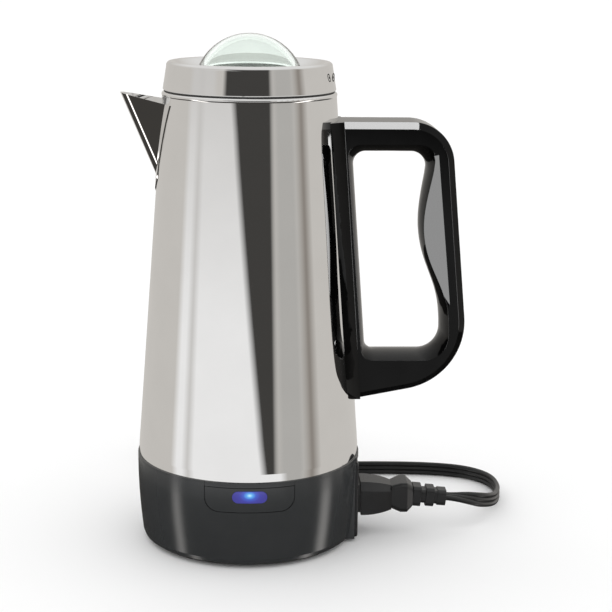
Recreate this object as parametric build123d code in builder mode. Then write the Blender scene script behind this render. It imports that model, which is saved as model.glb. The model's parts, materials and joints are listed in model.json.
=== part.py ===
from build123d import *
import os
from math import atan2, cos, radians, sin, tan

# Electric coffee percolator, in millimetres.
# Origin: on the pot's axis, at the surface it stands on. +Z is up, the handle and the mains
# inlet face +X, the spout faces -X and the light panel faces -Y.

# ---------------------------------------------------------------- driving dimensions
BASE_R = 65.9            # widest radius of the plastic base
BASE_BOTTOM = 1.8        # underside of the base, above the feet
BASE_TOP = 52.2          # lip that the steel body stands in
LEDGE_Z = 49.4           # ledge inside the lip, under the body's seal
SHELL_R_BOTTOM = 65.1    # steel body: radius at the base, at the rim, and sheet thickness
SHELL_R_TOP = 49.9
SHELL_Z_CONE = 57.0      # the cone starts here and ends at the rim
SHELL_Z_TOP = 263.3
SHEET = 0.8
BEAD_R = 1.6             # rolled rim of the body
FLOOR_TOP = 58.5         # inside floor of the pot
WELL_R = 15.2            # heater well that the pump stands in
WELL_DEPTH = 8.0
LID_BOTTOM = 266.35      # lid wall, from the rim up
LID_TOP = 282.4
LID_R = 49.5
KNOB_R = 32.0            # glass knob, a cap of a sphere
KNOB_TOP = 298.2
TUBE_R = 4.9             # pump tube
BASKET_R = 43.0          # coffee basket
BASKET_Z = 197.4
HANDLE_HALF = 17.0       # half the handle's thickness
HANDLE_TOP = 249.6
INLET_Z = 23.2           # height of the mains inlet's axis
INLET_FACE = 64.9        # front face of the inlet's plate
PLATE = 1.9              # thickness of that plate
BOSS_HALF = 21.0         # half width of the inlet boss
LIGHT_Z = 44.0           # centre of the light
CORD_D = 8.8             # width of the flat three-core cord
FOOT_ANGLE = 51.5        # feet, from the X axis
STUD_ANGLES = (60, 180, 300)
SCREW_ANGLES = (90, 210, 330)

os.makedirs("parts", exist_ok=True)


def write(piece, name):
    """Label a finished piece and write it as parts/NAME.step."""
    piece.part.label = name
    export_step(piece.part, f"parts/{name}.step")


def outline(*points, plane=Plane.XZ):
    """A face through points of the plane. On Plane.XZ they are (radius, height)."""
    with BuildSketch(plane) as face:
        with BuildLine():
            Polyline(*points, close=True)
        make_face()
    return face.sketch


def shell_radius(z):
    """Outside radius of the straight cone of the steel body at a height."""
    slope = (SHELL_R_BOTTOM - SHELL_R_TOP) / (SHELL_Z_TOP - SHELL_Z_CONE)
    return SHELL_R_BOTTOM - slope * (z - SHELL_Z_CONE)


def around(radius, angle, z=0.0):
    """A point at a radius and an angle from +X."""
    return (radius * cos(radians(angle)), radius * sin(radians(angle)), z)


# ================================================================ steel body
SHELL_Z_BOTTOM = LEDGE_Z + 1.2
BEAD_Z = SHELL_Z_TOP + 0.6
BEAD_CENTRE_R = SHELL_R_TOP + 0.3 - BEAD_R
NOTCH_WIDTH = 24.0       # degrees: three notches inside the rim let the lid's lugs through
NOTCH_R = 48.9


def cone_wall(outset, bottom, thick):
    """Closed wall of the body: its outside moved by outset, and its thickness."""
    low = SHELL_R_BOTTOM + outset
    top = SHELL_R_TOP + outset
    return outline(
        (low, bottom), (low, SHELL_Z_CONE), (top, SHELL_Z_TOP),
        (top - thick, SHELL_Z_TOP), (low - thick, SHELL_Z_CONE), (low - thick, bottom),
    )


# solid out to the body's surface, for cutting what sits against it
with BuildPart() as body_envelope:
    revolve(cone_wall(0, BASE_BOTTOM, SHELL_R_TOP - 1), axis=Axis.Z)

with BuildPart() as vessel_shell:
    revolve(cone_wall(0, SHELL_Z_BOTTOM, SHEET), axis=Axis.Z)
    with BuildSketch(Plane.XZ):
        with Locations((BEAD_CENTRE_R, BEAD_Z)):
            Circle(BEAD_R)
    revolve(axis=Axis.Z)
    # three bayonet notches in the inner half of the rim
    with BuildSketch(Plane.XZ.rotated((0, 0, -NOTCH_WIDTH / 2))):
        with Locations(((BEAD_CENTRE_R - BEAD_R + NOTCH_R) / 2 - 1, BEAD_Z)):
            Rectangle(NOTCH_R - BEAD_CENTRE_R + BEAD_R + 2, 2 * BEAD_R + 1.2)
    notch = revolve(axis=Axis.Z, revolution_arc=NOTCH_WIDTH, mode=Mode.PRIVATE)
    for turn in (30, 150, 270):
        add(notch.rotate(Axis.Z, turn), mode=Mode.SUBTRACT)
    # strainer behind the spout: rows of holes in a triangle that points down
    for row, count in enumerate((5, 4, 3, 2, 1)):
        for column in range(count):
            lift = 249.0 - 7.5 * row
            side = 6.4 * (column - (count - 1) / 2)
            with Locations(Plane(origin=(-40, side, lift), z_dir=(-1, 0, 0))):
                Cylinder(2.0, 40, mode=Mode.SUBTRACT)
write(vessel_shell, "vessel_shell")

with BuildPart() as vessel_floor:
    inner = SHELL_R_BOTTOM - SHEET
    well = FLOOR_TOP - WELL_DEPTH
    revolve(
        outline(
            (0, well - SHEET), (WELL_R, well - SHEET), (WELL_R + 0.6, FLOOR_TOP - SHEET),
            (inner - SHEET, FLOOR_TOP - SHEET), (inner - SHEET, SHELL_Z_BOTTOM + 0.4),
            (inner, SHELL_Z_BOTTOM + 0.4), (inner, SHELL_Z_CONE - 0.2), (inner - 1.2, FLOOR_TOP),
            (WELL_R, FLOOR_TOP), (WELL_R - 0.8, well), (0, well),
        ),
        axis=Axis.Z,
    )
write(vessel_floor, "vessel_floor")

# ---------------------------------------------------------------- spout
SPOUT_TIP = (-73.6, 264.5)      # (x, z) of the rounded keel's front line
SPOUT_FOOT = (-53.5, 216.9)
SPOUT_RIM = (-46.4, 258.9)      # where the rim meets the body
SPOUT_V = 30.0                  # half the angle between its flat sides
KEEL_R = 9.0                    # rounding of the keel between them
FLANGE = 4.0                    # welded flange on the body around the spout


def beak(grow, keel):
    """A wedge whose rounded keel runs from the spout's foot to its tip.

    grow moves its sides outward; keel is the radius of the rounded edge.
    """
    run = Vector(SPOUT_TIP[0] - SPOUT_FOOT[0], SPOUT_TIP[1] - SPOUT_FOOT[1]).normalized()
    out = Vector(-run.Y, run.X)          # away from the body, square to the keel
    half_angle = radians(SPOUT_V)
    sharp = KEEL_R * (1 / sin(half_angle) - 1) + grow / sin(half_angle)
    reach = 60.0
    side = (reach + sharp) * tan(half_angle)
    # section square to the keel: x runs along Y, y runs away from the body
    section = Plane(
        origin=(SPOUT_FOOT[0] - 40 * run.X, 0, SPOUT_FOOT[1] - 40 * run.Y),
        x_dir=(0, 1, 0),
        z_dir=(run.X, 0, run.Y),
    )
    sign = 1 if section.y_dir.dot(Vector(out.X, 0, out.Y)) > 0 else -1
    with BuildPart(mode=Mode.PRIVATE) as wedge:
        with BuildSketch(section):
            with BuildLine():
                Polyline(
                    (0, sign * sharp), (side, -sign * reach), (-side, -sign * reach), close=True
                )
            make_face()
            tip = [v for v in vertices() if abs(v.X) < 0.01]
            fillet(tip, keel)
        extrude(amount=140)
    return wedge.part


def below_rim():
    """The half space under the spout's sloping rim, as a slab."""
    slope = atan2(SPOUT_TIP[1] - SPOUT_RIM[1], SPOUT_RIM[0] - SPOUT_TIP[0])
    rim = Plane(
        origin=(SPOUT_TIP[0], 0, SPOUT_TIP[1]),
        x_dir=(cos(slope), 0, -sin(slope)),
        z_dir=(sin(slope), 0, cos(slope)),
    )
    with BuildPart(mode=Mode.PRIVATE) as slab:
        with BuildSketch(rim):
            Rectangle(240, 160)
        extrude(amount=-120)
    return slab.part


with BuildPart() as spout:
    add(beak(0, KEEL_R))
    add(below_rim(), mode=Mode.INTERSECT)
    add(beak(-SHEET, KEEL_R - SHEET), mode=Mode.SUBTRACT)
    # the flange, a second skin on the body around the beak's foot
    with BuildPart(mode=Mode.PRIVATE) as flange:
        revolve(cone_wall(0.6, BASE_BOTTOM, 0.6), axis=Axis.Z)
        add(beak(FLANGE, KEEL_R + FLANGE), mode=Mode.INTERSECT)
        add(beak(-SHEET, KEEL_R - SHEET), mode=Mode.SUBTRACT)
        with BuildSketch(Plane.XY.offset(200)):
            with Locations((-60, 0)):
                Rectangle(60, 80)
        extrude(amount=SPOUT_RIM[1] - 200, mode=Mode.INTERSECT)
    add(flange.part)
    add(body_envelope.part, mode=Mode.SUBTRACT)
    with BuildSketch(Plane.XY.offset(190)):
        with Locations((-70, 0)):
            Rectangle(60, 100)
    extrude(amount=90, mode=Mode.INTERSECT)
write(spout, "spout")

# ================================================================ handle
GRIP_SLOPE = 0.0931       # the grip's outer side leans outward going down
GRIP_TOP_X = 115.0
SADDLE_ANGLE = 34.0       # half angle of the flange that hugs the body
BEVEL = 3.8               # bevel along the handle's outer edges
HANDLE_LOW = 86.9         # lowest point, beside the body
SADDLE_STEP = 2.5         # the saddle's flared sides meet the handle's faces this far off the body
FACET_LINE = ((107.6, 231.4), (116.5, 144.0))    # (x, z) of the thumb facet's outer edge


def finger_opening(depth, corners, wave):
    """Outline of the finger opening at a depth.

    corners are (x, z) at the upper left and lower left; wave runs up the grip's inner side.
    """
    with BuildSketch(Plane.XZ.offset(depth)) as face:
        with BuildLine():
            Line(wave[-1], corners[0])
            Line(corners[0], corners[1])
            Line(corners[1], wave[0])
            Spline(*wave, tangents=((0, 1), (0, 1)))
        make_face()
        fillet(vertices().filter_by_position(Axis.X, 50, 75), CORNER_R[0])
        fillet(vertices().group_by(Axis.Y)[0].sort_by(Axis.X)[-1], CORNER_R[1])
        fillet(vertices().group_by(Axis.Y)[-1].sort_by(Axis.X)[-1], CORNER_R[2])
    return face.sketch


# the opening's sides are crowned: it is widest at the handle's faces and narrowest between them
CORNER_R = (7.0, 14.0, 9.0)      # corners by the body, and the grip's lower and upper ones
MIDDLE_CORNERS = ((59.3, 231.7), (68.6, 113.1))
MIDDLE_WAVE = (
    (112.4, 113.1), (112.5, 128.0), (109.9, 148.3), (102.6, 168.2), (98.5, 193.0),
    (101.2, 216.0), (102.3, 231.7),
)
FACE_CORNERS = ((55.2, 237.1), (65.6, 110.6))
FACE_WAVE = (
    (116.2, 110.6), (116.4, 127.0), (113.9, 148.3), (106.8, 168.2), (102.7, 193.0),
    (105.2, 217.0), (106.3, 237.1),
)

with BuildPart() as handle:
    # closed loop seen from the side
    with BuildSketch(Plane.XZ.offset(-HANDLE_HALF)):
        with BuildLine():
            Polyline(
                (38, HANDLE_TOP), (GRIP_TOP_X, HANDLE_TOP), (129.2, 99.6), (62.3, HANDLE_LOW),
                (38, HANDLE_LOW - 4.6), close=True,
            )
        make_face()
        fillet(vertices().filter_by_position(Axis.X, 110, 120), 24.5)
        fillet(vertices().filter_by_position(Axis.X, 127, 133), 40.0)
    extrude(amount=2 * HANDLE_HALF)
    outer = faces().filter_by(Plane.XZ)
    rims = [
        edge for edge in outer.edges()
        if edge.center().X > 75 or edge.center().Z > HANDLE_TOP - 1
    ]
    chamfer(rims, BEVEL)
    # flange on the body: wide at the contact, narrowing to the post's sides
    with BuildPart(mode=Mode.PRIVATE) as saddle:
        for height in (HANDLE_TOP, HANDLE_LOW):
            wide = shell_radius(height)
            edge_x = wide * cos(radians(SADDLE_ANGLE)) - 0.6
            edge_y = wide * sin(radians(SADDLE_ANGLE))
            hollow_x = (edge_x + wide + SADDLE_STEP) / 2 - 0.7
            hollow_y = (edge_y + HANDLE_HALF) / 2 - 0.7
            with BuildSketch(Plane.XY.offset(height)):
                with BuildLine():
                    Polyline((edge_x, -edge_y), (edge_x - 5.4, -edge_y), (edge_x - 5.4, edge_y))
                    Line((edge_x - 5.4, edge_y), (edge_x, edge_y))
                    ThreePointArc(
                        (edge_x, edge_y), (hollow_x, hollow_y), (wide + SADDLE_STEP, HANDLE_HALF)
                    )
                    Line((wide + SADDLE_STEP, HANDLE_HALF), (wide + SADDLE_STEP, -HANDLE_HALF))
                    ThreePointArc(
                        (wide + SADDLE_STEP, -HANDLE_HALF), (hollow_x, -hollow_y), (edge_x, -edge_y)
                    )
                make_face()
        loft()
        with BuildSketch(Plane.YZ.offset(20)):
            with BuildLine():
                Polyline((-40, 128), (-40, HANDLE_TOP), (40, HANDLE_TOP), (40, 128))
                ThreePointArc((40, 128), (30.5, 99.6), (15.7, HANDLE_LOW))
                Line((15.7, HANDLE_LOW), (-15.7, HANDLE_LOW))
                ThreePointArc((-15.7, HANDLE_LOW), (-30.5, 99.6), (-40, 128))
            make_face()
        extrude(amount=60, mode=Mode.INTERSECT)
    add(saddle.part)
    past = HANDLE_HALF + 0.3
    with BuildPart(mode=Mode.PRIVATE) as opening:
        loft(
            sections=[
                finger_opening(past, FACE_CORNERS, FACE_WAVE),
                finger_opening(0, MIDDLE_CORNERS, MIDDLE_WAVE),
                finger_opening(-past, FACE_CORNERS, FACE_WAVE),
            ]
        )
    add(opening.part, mode=Mode.SUBTRACT)
    # sloping thumb facets on both sides of the grip, from a line near its outer edge
    (top_x, top_z), (low_x, low_z) = FACET_LINE
    for side in (-1, 1):
        with BuildPart(mode=Mode.PRIVATE) as facet:
            with BuildSketch(Plane.XZ.offset(-side * HANDLE_HALF)):
                Polygon((85, top_z), (top_x, top_z), (low_x, low_z), (85, low_z), align=None)
            with BuildSketch(Plane.XZ.offset(-side * (HANDLE_HALF - 8))):
                Polygon(
                    (65, top_z - 5), (top_x - 20, top_z - 5), (low_x - 20, low_z + 30),
                    (65, low_z + 30), align=None,
                )
            loft(ruled=True)
        add(facet.part, mode=Mode.SUBTRACT)
    add(body_envelope.part, mode=Mode.SUBTRACT)
    # pockets for the upper hook and the lower bracket, and the screw's hole from below
    with Locations((58, 0, 241)):
        Box(20, 16.4, 9, mode=Mode.SUBTRACT)
    with Locations((66, 0, 102.5)):
        Box(20, 16.4, 7, mode=Mode.SUBTRACT)
    with Locations(Plane(origin=(70, 0, 80), z_dir=(0, 0, -1))):
        Cylinder(2.2, 60, mode=Mode.SUBTRACT)
    with Locations((70, 0, 84)):
        Cylinder(4.3, 20, mode=Mode.SUBTRACT)
write(handle, "handle")

with BuildPart() as handle_hook:
    with BuildSketch(Plane.XZ.offset(-8)):
        with BuildLine():
            Polyline(
                (48, 237.5), (66, 237.5), (66, 244.5), (63.2, 244.5), (63.2, 240.3), (48, 240.3),
                close=True,
            )
        make_face()
    extrude(amount=16)
    add(body_envelope.part, mode=Mode.SUBTRACT)
write(handle_hook, "handle_hook")

with BuildPart() as handle_bracket:
    with Locations((66, 0, 102.5)):
        Box(18, 16, 3.2)
    add(body_envelope.part, mode=Mode.SUBTRACT)
    with Locations((70, 0, 102.5)):
        Cylinder(1.95, 10, mode=Mode.SUBTRACT)
write(handle_bracket, "handle_bracket")

with BuildPart() as handle_screw:
    with Locations((70, 0, 99)):
        Cylinder(1.95, 14)
    with Locations((70, 0, 92.4)):
        Cylinder(4.0, 3.2)
    with Locations((70, 0, 91.2)):
        Box(5.6, 1.2, 1.4, mode=Mode.SUBTRACT)
        Box(1.2, 5.6, 1.4, mode=Mode.SUBTRACT)
write(handle_screw, "handle_screw")

# ================================================================ plastic base
LEDGE_R = 62.9
PANEL_HALF = 25.3        # inset panel around the light
PANEL_Z = (35.0, LEDGE_Z - 0.3)
PANEL_DEEP = 1.9
PANEL_GAP = 0.35         # groove around it
LENS_SIZE = (19.7, 6.8)
SKIRT = ((63.3, 5.5), (64.95, 22.0), (BASE_R, 50.5))    # outer side, bowed outward


def skirt(outset=0.0, wall=None, bottom=BASE_BOTTOM):
    """Section of the base's side. With no wall it is solid to the axis."""
    low, mid, high = [(r + outset, z) for r, z in SKIRT]
    with BuildSketch(Plane.XZ) as section:
        with BuildLine():
            if wall is None:
                Polyline(low, (low[0] - 0.9, 3.1), (60.6 + outset, bottom), (0, bottom))
                Line((0, bottom), (0, BASE_TOP))
                Polyline((0, BASE_TOP), (high[0], BASE_TOP), high)
                ThreePointArc(high, mid, low)
            else:
                inner = [(r + outset - wall, z) for r, z in SKIRT]
                ThreePointArc(low, mid, high)
                Line(high, inner[2])
                ThreePointArc(inner[2], inner[1], inner[0])
                Line(inner[0], low)
        make_face()
    return section.sketch


def panel_outline(gap=0.0):
    """Outline of the inset panel seen from the front."""
    low, high = PANEL_Z
    with BuildSketch(Plane.XZ.offset(55)) as front:
        with Locations((0, (low + high) / 2)):
            Rectangle(2 * (PANEL_HALF + gap), high - low + 2 * gap)
        fillet(front.vertices().group_by(Axis.Y)[0], 8.0)
    return front.sketch


def lens_outline(gap=0.0):
    """Outline of the light's window seen from the front."""
    with BuildSketch(Plane.XZ.offset(55)) as front:
        with Locations((0, LIGHT_Z)):
            SlotOverall(LENS_SIZE[0] + 2 * gap, LENS_SIZE[1] + 2 * gap)
    return front.sketch


with BuildPart() as base_housing:
    revolve(skirt(), axis=Axis.Z)
    # hollow it, leaving the ledge for the seal and a rim for the bottom plate
    revolve(
        outline(
            (0, 0), (58.7, 0), (58.7, 6.4), (60.9, 8.0), (62.5, 30.0), (LEDGE_R, 44.0),
            (LEDGE_R, LEDGE_Z), (SHELL_R_BOTTOM + 0.05, LEDGE_Z),
            (SHELL_R_BOTTOM + 0.05, BASE_TOP + 1), (0, BASE_TOP + 1),
        ),
        axis=Axis.Z,
        mode=Mode.SUBTRACT,
    )
    # boss for the mains inlet, flat in front under the lip
    boss_top = LEDGE_Z - 0.2
    with BuildSketch(Plane.XY.offset(BASE_BOTTOM)):
        with Locations((55.5, 0)):
            Rectangle(15, 2 * BOSS_HALF)
    extrude(amount=boss_top - BASE_BOTTOM)
    with BuildSketch(Plane.XY):
        with Locations((INLET_FACE - PLATE + 10, 0)):
            Rectangle(20, 2 * BOSS_HALF + 0.6)
    extrude(amount=boss_top, mode=Mode.SUBTRACT)
    with Locations((55, 0, INLET_Z)):
        Box(30, 27.2, 22.2, mode=Mode.SUBTRACT)
    Cylinder(58.7, 2 * (BASE_BOTTOM + 2.6), mode=Mode.SUBTRACT)
    # tabs that the pot's studs pass through
    for angle in STUD_ANGLES:
        with BuildPart(mode=Mode.PRIVATE) as tab:
            with Locations((56.0, 0, 41.5)):
                Box(14.0, 12, 3)
            with Locations((54, 0, 41.5)):
                Cylinder(2.3, 5, mode=Mode.SUBTRACT)
        add(tab.part.rotate(Axis.Z, angle))
    # screw posts for the bottom plate, ribbed to the wall
    for angle in SCREW_ANGLES:
        with BuildPart(mode=Mode.PRIVATE) as post:
            with Locations((53, 0, 12.3)):
                Cylinder(4, 16)
            with Locations((58.6, 0, 13.8)):
                Box(6, 2.4, 13)
            with Locations((53, 0, 12.3)):
                Cylinder(1.5, 16, mode=Mode.SUBTRACT)
        add(post.part.rotate(Axis.Z, angle))
    # rails that hold the light's board
    for side in (-1, 1):
        with Locations((side * 13.1, -56.5, LIGHT_Z - 1)):
            Box(2, 11.6, 9)
    # recess of the light panel, the window through it, and its grooves up the lip
    with BuildPart(mode=Mode.PRIVATE) as recess:
        revolve(skirt(1.0, PANEL_DEEP + 1.0), axis=Axis.Z)
        extrude(panel_outline(PANEL_GAP), amount=15, mode=Mode.INTERSECT)
    add(recess.part, mode=Mode.SUBTRACT)
    extrude(lens_outline(0.1), amount=15, mode=Mode.SUBTRACT)
    for side in (-1, 1):
        with Locations((side * (PANEL_HALF + PANEL_GAP / 2), -66.0 * cos(radians(22.9)), 51)):
            Box(PANEL_GAP, 1.0, 4, mode=Mode.SUBTRACT)
write(base_housing, "base_housing")

with BuildPart() as indicator_panel:
    revolve(skirt(0, PANEL_DEEP), axis=Axis.Z)
    extrude(panel_outline(), amount=15, mode=Mode.INTERSECT)
    extrude(lens_outline(0.1), amount=15, mode=Mode.SUBTRACT)
write(indicator_panel, "indicator_panel")

with BuildPart() as light_lens:
    revolve(skirt(0.25), axis=Axis.Z)
    extrude(lens_outline(), amount=15, mode=Mode.INTERSECT)
    with Locations((0, -30, LIGHT_Z)):
        Box(40, 60.8, 20, mode=Mode.SUBTRACT)
write(light_lens, "light_lens")

with BuildPart() as led:
    with Locations(Plane(origin=(0, -52.4, LIGHT_Z), z_dir=(0, -1, 0))):
        Cylinder(2.5, 5.0, align=(Align.CENTER, Align.CENTER, Align.MIN))
        Cylinder(2.9, 1.0, align=(Align.CENTER, Align.CENTER, Align.MIN))
    fillet(faces().sort_by(Axis.Y)[0].edges(), 2.0)
write(led, "led")

with BuildPart() as led_board:
    with Locations((0, -51.6, LIGHT_Z - 1)):
        Box(24.2, 1.6, 9)
write(led_board, "led_board")

with BuildPart() as base_seal:
    revolve(
        outline(
            (LEDGE_R + 0.2, LEDGE_Z), (SHELL_R_BOTTOM, LEDGE_Z),
            (SHELL_R_BOTTOM, SHELL_Z_BOTTOM), (LEDGE_R + 0.2, SHELL_Z_BOTTOM),
        ),
        axis=Axis.Z,
    )
write(base_seal, "base_seal")

FOOT_R = 7.5
FOOT_AT = 50.5
FOOT_ANGLES = (FOOT_ANGLE, 180 - FOOT_ANGLE, 180 + FOOT_ANGLE, 360 - FOOT_ANGLE)
foot_places = [around(FOOT_AT, angle) for angle in FOOT_ANGLES]
screw_places = [around(53, angle) for angle in SCREW_ANGLES]

with BuildPart() as bottom_plate:
    with BuildSketch(Plane.XY.offset(BASE_BOTTOM)):
        Circle(58.4)
        with PolarLocations(32, 12):
            SlotOverall(16, 2.6, mode=Mode.SUBTRACT)
    extrude(amount=2.5)
    with Locations(*[(x, y, BASE_BOTTOM) for x, y, _ in foot_places]):
        Cylinder(FOOT_R, 1.6, mode=Mode.SUBTRACT)
    with Locations(*[(x, y, 3) for x, y, _ in screw_places]):
        Cylinder(1.7, 6, mode=Mode.SUBTRACT)
    with Locations(*[(x, y, BASE_BOTTOM) for x, y, _ in screw_places]):
        Cylinder(3.4, 2.2, mode=Mode.SUBTRACT)
write(bottom_plate, "bottom_plate")

with BuildPart() as rubber_feet:
    with Locations(*[(x, y, 1.3) for x, y, _ in foot_places]):
        Cylinder(FOOT_R, 2.6)
    fillet(faces().group_by(Axis.Z)[0].edges(), 0.8)
write(rubber_feet, "rubber_feet")

with BuildPart() as base_screws:
    with Locations(*[(x, y, 2.1) for x, y, _ in screw_places]):
        Cylinder(3.2, 1.6)
    with Locations(*[(x, y, 9) for x, y, _ in screw_places]):
        Cylinder(1.48, 13)
    with Locations(*[(x, y, 1.5) for x, y, _ in screw_places]):
        Box(4, 0.9, 0.8, mode=Mode.SUBTRACT)
        Box(0.9, 4, 0.8, mode=Mode.SUBTRACT)
write(base_screws, "base_screws")

stud_places = [around(54, angle) for angle in STUD_ANGLES]
with BuildPart() as floor_studs:
    with Locations(*[(x, y, 46.7) for x, y, _ in stud_places]):
        Cylinder(1.95, 22)
    with Locations(*[(x, y, 56.7) for x, y, _ in stud_places]):
        Cylinder(4.5, 2)
write(floor_studs, "floor_studs")

with BuildPart() as stud_nuts:
    with BuildSketch(Plane.XY.offset(36.8)):
        with Locations(*[(x, y) for x, y, _ in stud_places]):
            RegularPolygon(4.0, 6)
            Circle(1.95, mode=Mode.SUBTRACT)
    extrude(amount=3.2)
write(stud_nuts, "stud_nuts")

# ---------------------------------------------------------------- mains inlet
NOSE = (24.0, 15.6)      # width and height of the connector's nose
NOSE_BACK = 48.6
PIN_Y = (-7.0, 0.0, 7.0)


def nose_outline(plane, gap, cut=4.6):
    """The inlet's opening: a rectangle whose upper corners are cut off."""
    half, tall = NOSE[0] / 2 + gap, NOSE[1] / 2 + gap
    with BuildSketch(plane) as opening:
        with BuildLine():
            Polyline(
                (-half, -tall), (half, -tall), (half, tall - cut), (half - cut, tall),
                (cut - half, tall), (-half, tall - cut), close=True,
            )
        make_face()
    return opening.sketch


def inlet_plane(x):
    """A plane facing +X on the inlet's axis; its x axis runs along +Y."""
    return Plane(origin=(x, 0, INLET_Z), x_dir=(0, 1, 0), z_dir=(1, 0, 0))


with BuildPart() as inlet_socket:
    with Locations((53.9, 0, INLET_Z)):
        Box(18.0, 27.0, 22.0)
    extrude(nose_outline(inlet_plane(47.4), 0.3), amount=20, mode=Mode.SUBTRACT)
    for y in PIN_Y:
        with Locations((46, y, INLET_Z)):
            Box(4, 2.0, 4.0, mode=Mode.SUBTRACT)
write(inlet_socket, "inlet_socket")

with BuildPart() as inlet_pins:
    for y in PIN_Y:
        with Locations((50, y, INLET_Z)):
            Box(22, 2.0, 4.0)
    chamfer(faces().group_by(Axis.X)[-1].edges(), 0.5)
write(inlet_pins, "inlet_pins")

with BuildPart() as inlet_plate:
    with BuildSketch(Plane.YZ.offset(INLET_FACE - PLATE)):
        with Locations((0, (2.4 + boss_top) / 2)):
            RectangleRounded(2 * BOSS_HALF, boss_top - 2.4 - 0.4, 2.5)
    extrude(amount=PLATE)
    chamfer(faces().sort_by(Axis.X)[-1].edges(), 0.7)
    extrude(nose_outline(inlet_plane(60), 0.3), amount=10, mode=Mode.SUBTRACT)
write(inlet_plate, "inlet_plate")

# ---------------------------------------------------------------- heater and wiring
ELEMENT_R = 30.0
ELEMENT_TUBE = 3.5
ELEMENT_Z = FLOOR_TOP - SHEET - ELEMENT_TUBE

with BuildPart() as heating_element:
    with BuildSketch(Plane.XZ.rotated((0, 0, 35))):
        with Locations((ELEMENT_R, ELEMENT_Z)):
            Circle(ELEMENT_TUBE)
    revolve(axis=Axis.Z, revolution_arc=290)
write(heating_element, "heating_element")

with BuildPart() as element_terminals:
    for angle in (35, -35):
        x, y, _ = around(ELEMENT_R, angle)
        lead = 1 if angle > 0 else -1
        along = (sin(radians(angle)) * lead, -cos(radians(angle)) * lead, 0)
        with Locations(Plane(origin=(x, y, ELEMENT_Z), z_dir=along)):
            Cylinder(1.6, 7, align=(Align.CENTER, Align.CENTER, Align.MIN))
write(element_terminals, "element_terminals")

with BuildPart() as thermostat:
    under_well = FLOOR_TOP - WELL_DEPTH - SHEET
    with Locations((0, 0, under_well - 0.5)):
        Cylinder(11, 1)
    with Locations((0, 0, under_well - 5.5)):
        Cylinder(8.5, 9)
    for side in (-1, 1):
        with Locations((side * 5, 0, under_well - 13)):
            Box(0.8, 6.3, 8)
write(thermostat, "thermostat")

with BuildPart() as keep_warm_heater:
    with Locations((0, 45, FLOOR_TOP - SHEET - 2.5)):
        Box(20, 10, 5)
write(keep_warm_heater, "keep_warm_heater")

with BuildPart() as thermal_fuse:
    with Locations(Plane(origin=(-44, 0, FLOOR_TOP - SHEET - 2.2), z_dir=(0, 1, 0))):
        Cylinder(2.2, 12)
        Cylinder(0.6, 22)
write(thermal_fuse, "thermal_fuse")

WIRE_R = 1.1


def wire(*points, bend=5.0):
    """One insulated wire along straight runs with rounded turns."""
    with BuildPart(mode=Mode.PRIVATE) as lead:
        with BuildLine() as path:
            FilletPolyline(*points, radius=bend)
        with BuildSketch(path.line ^ 0):
            Circle(WIRE_R)
        sweep(path=path.line)
    return lead.part


with BuildPart() as wiring:
    shoe = 38.0              # the pins' inner ends
    below = under_well - 17
    add(wire((shoe, 7, INLET_Z), (28, 10, INLET_Z), (20, 14, 40), (25, 9, 50), (29, 10, 53)))
    add(wire((shoe, -7, INLET_Z), (26, -7, INLET_Z), (12, -3, 22), (5, 0, 24), (5, 0, below)))
    add(
        wire(
            (-5, 0, below), (-5, 0, 20), (-24, -4, 18), (-40, -12, 22), (-44, -20, 40),
            (-44, -20, 55.5), (-44, -11, 55.5), bend=3.5,
        )
    )
    add(wire((shoe, 0, INLET_Z), (24, 0, INLET_Z), (18, 20, 30), (6, 36, 45), (0, 42, 51.4)))
write(wiring, "wiring")

# ================================================================ lid
LID_SHEET = 0.7
RECESS_Z = 276.3         # seat of the glass knob
HOLE_R = 26.0
SKIRT_R = 45.0
LUG_Z = (259.9, 261.9)

with BuildPart() as lid_shell:
    with BuildSketch(Plane.XZ):
        with BuildLine():
            top = LID_TOP
            Line((SKIRT_R, LID_BOTTOM), (LID_R - 0.5, LID_BOTTOM))
            Line((LID_R - 0.5, LID_BOTTOM), (LID_R, LID_BOTTOM + 0.5))
            Line((LID_R, LID_BOTTOM + 0.5), (47.4, top - 2.3))
            ThreePointArc((47.4, top - 2.3), (46.7, top - 0.6), (45.0, top))
            Spline(
                (45.0, top), (41.5, top - 1.6), (36.5, RECESS_Z + 1.0), (32.2, RECESS_Z),
                tangents=((-1, 0), (-1, 0)),
            )
            Polyline((32.2, RECESS_Z), (HOLE_R, RECESS_Z), (HOLE_R, RECESS_Z - LID_SHEET))
            Line((HOLE_R, RECESS_Z - LID_SHEET), (32.4, RECESS_Z - LID_SHEET))
            Spline(
                (32.4, RECESS_Z - LID_SHEET), (36.9, RECESS_Z + 0.3), (41.9, top - 2.35),
                (44.9, top - LID_SHEET), tangents=((1, 0), (1, 0)),
            )
            ThreePointArc((44.9, top - LID_SHEET), (46.1, top - 1.2), (46.7, top - 2.4))
            Line((46.7, top - 2.4), (48.75, LID_BOTTOM + LID_SHEET))
            Line((48.75, LID_BOTTOM + LID_SHEET), (SKIRT_R, LID_BOTTOM + LID_SHEET))
            Line((SKIRT_R, LID_BOTTOM + LID_SHEET), (SKIRT_R, LID_BOTTOM))
        make_face()
    revolve(axis=Axis.Z)
write(lid_shell, "lid_shell")

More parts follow.
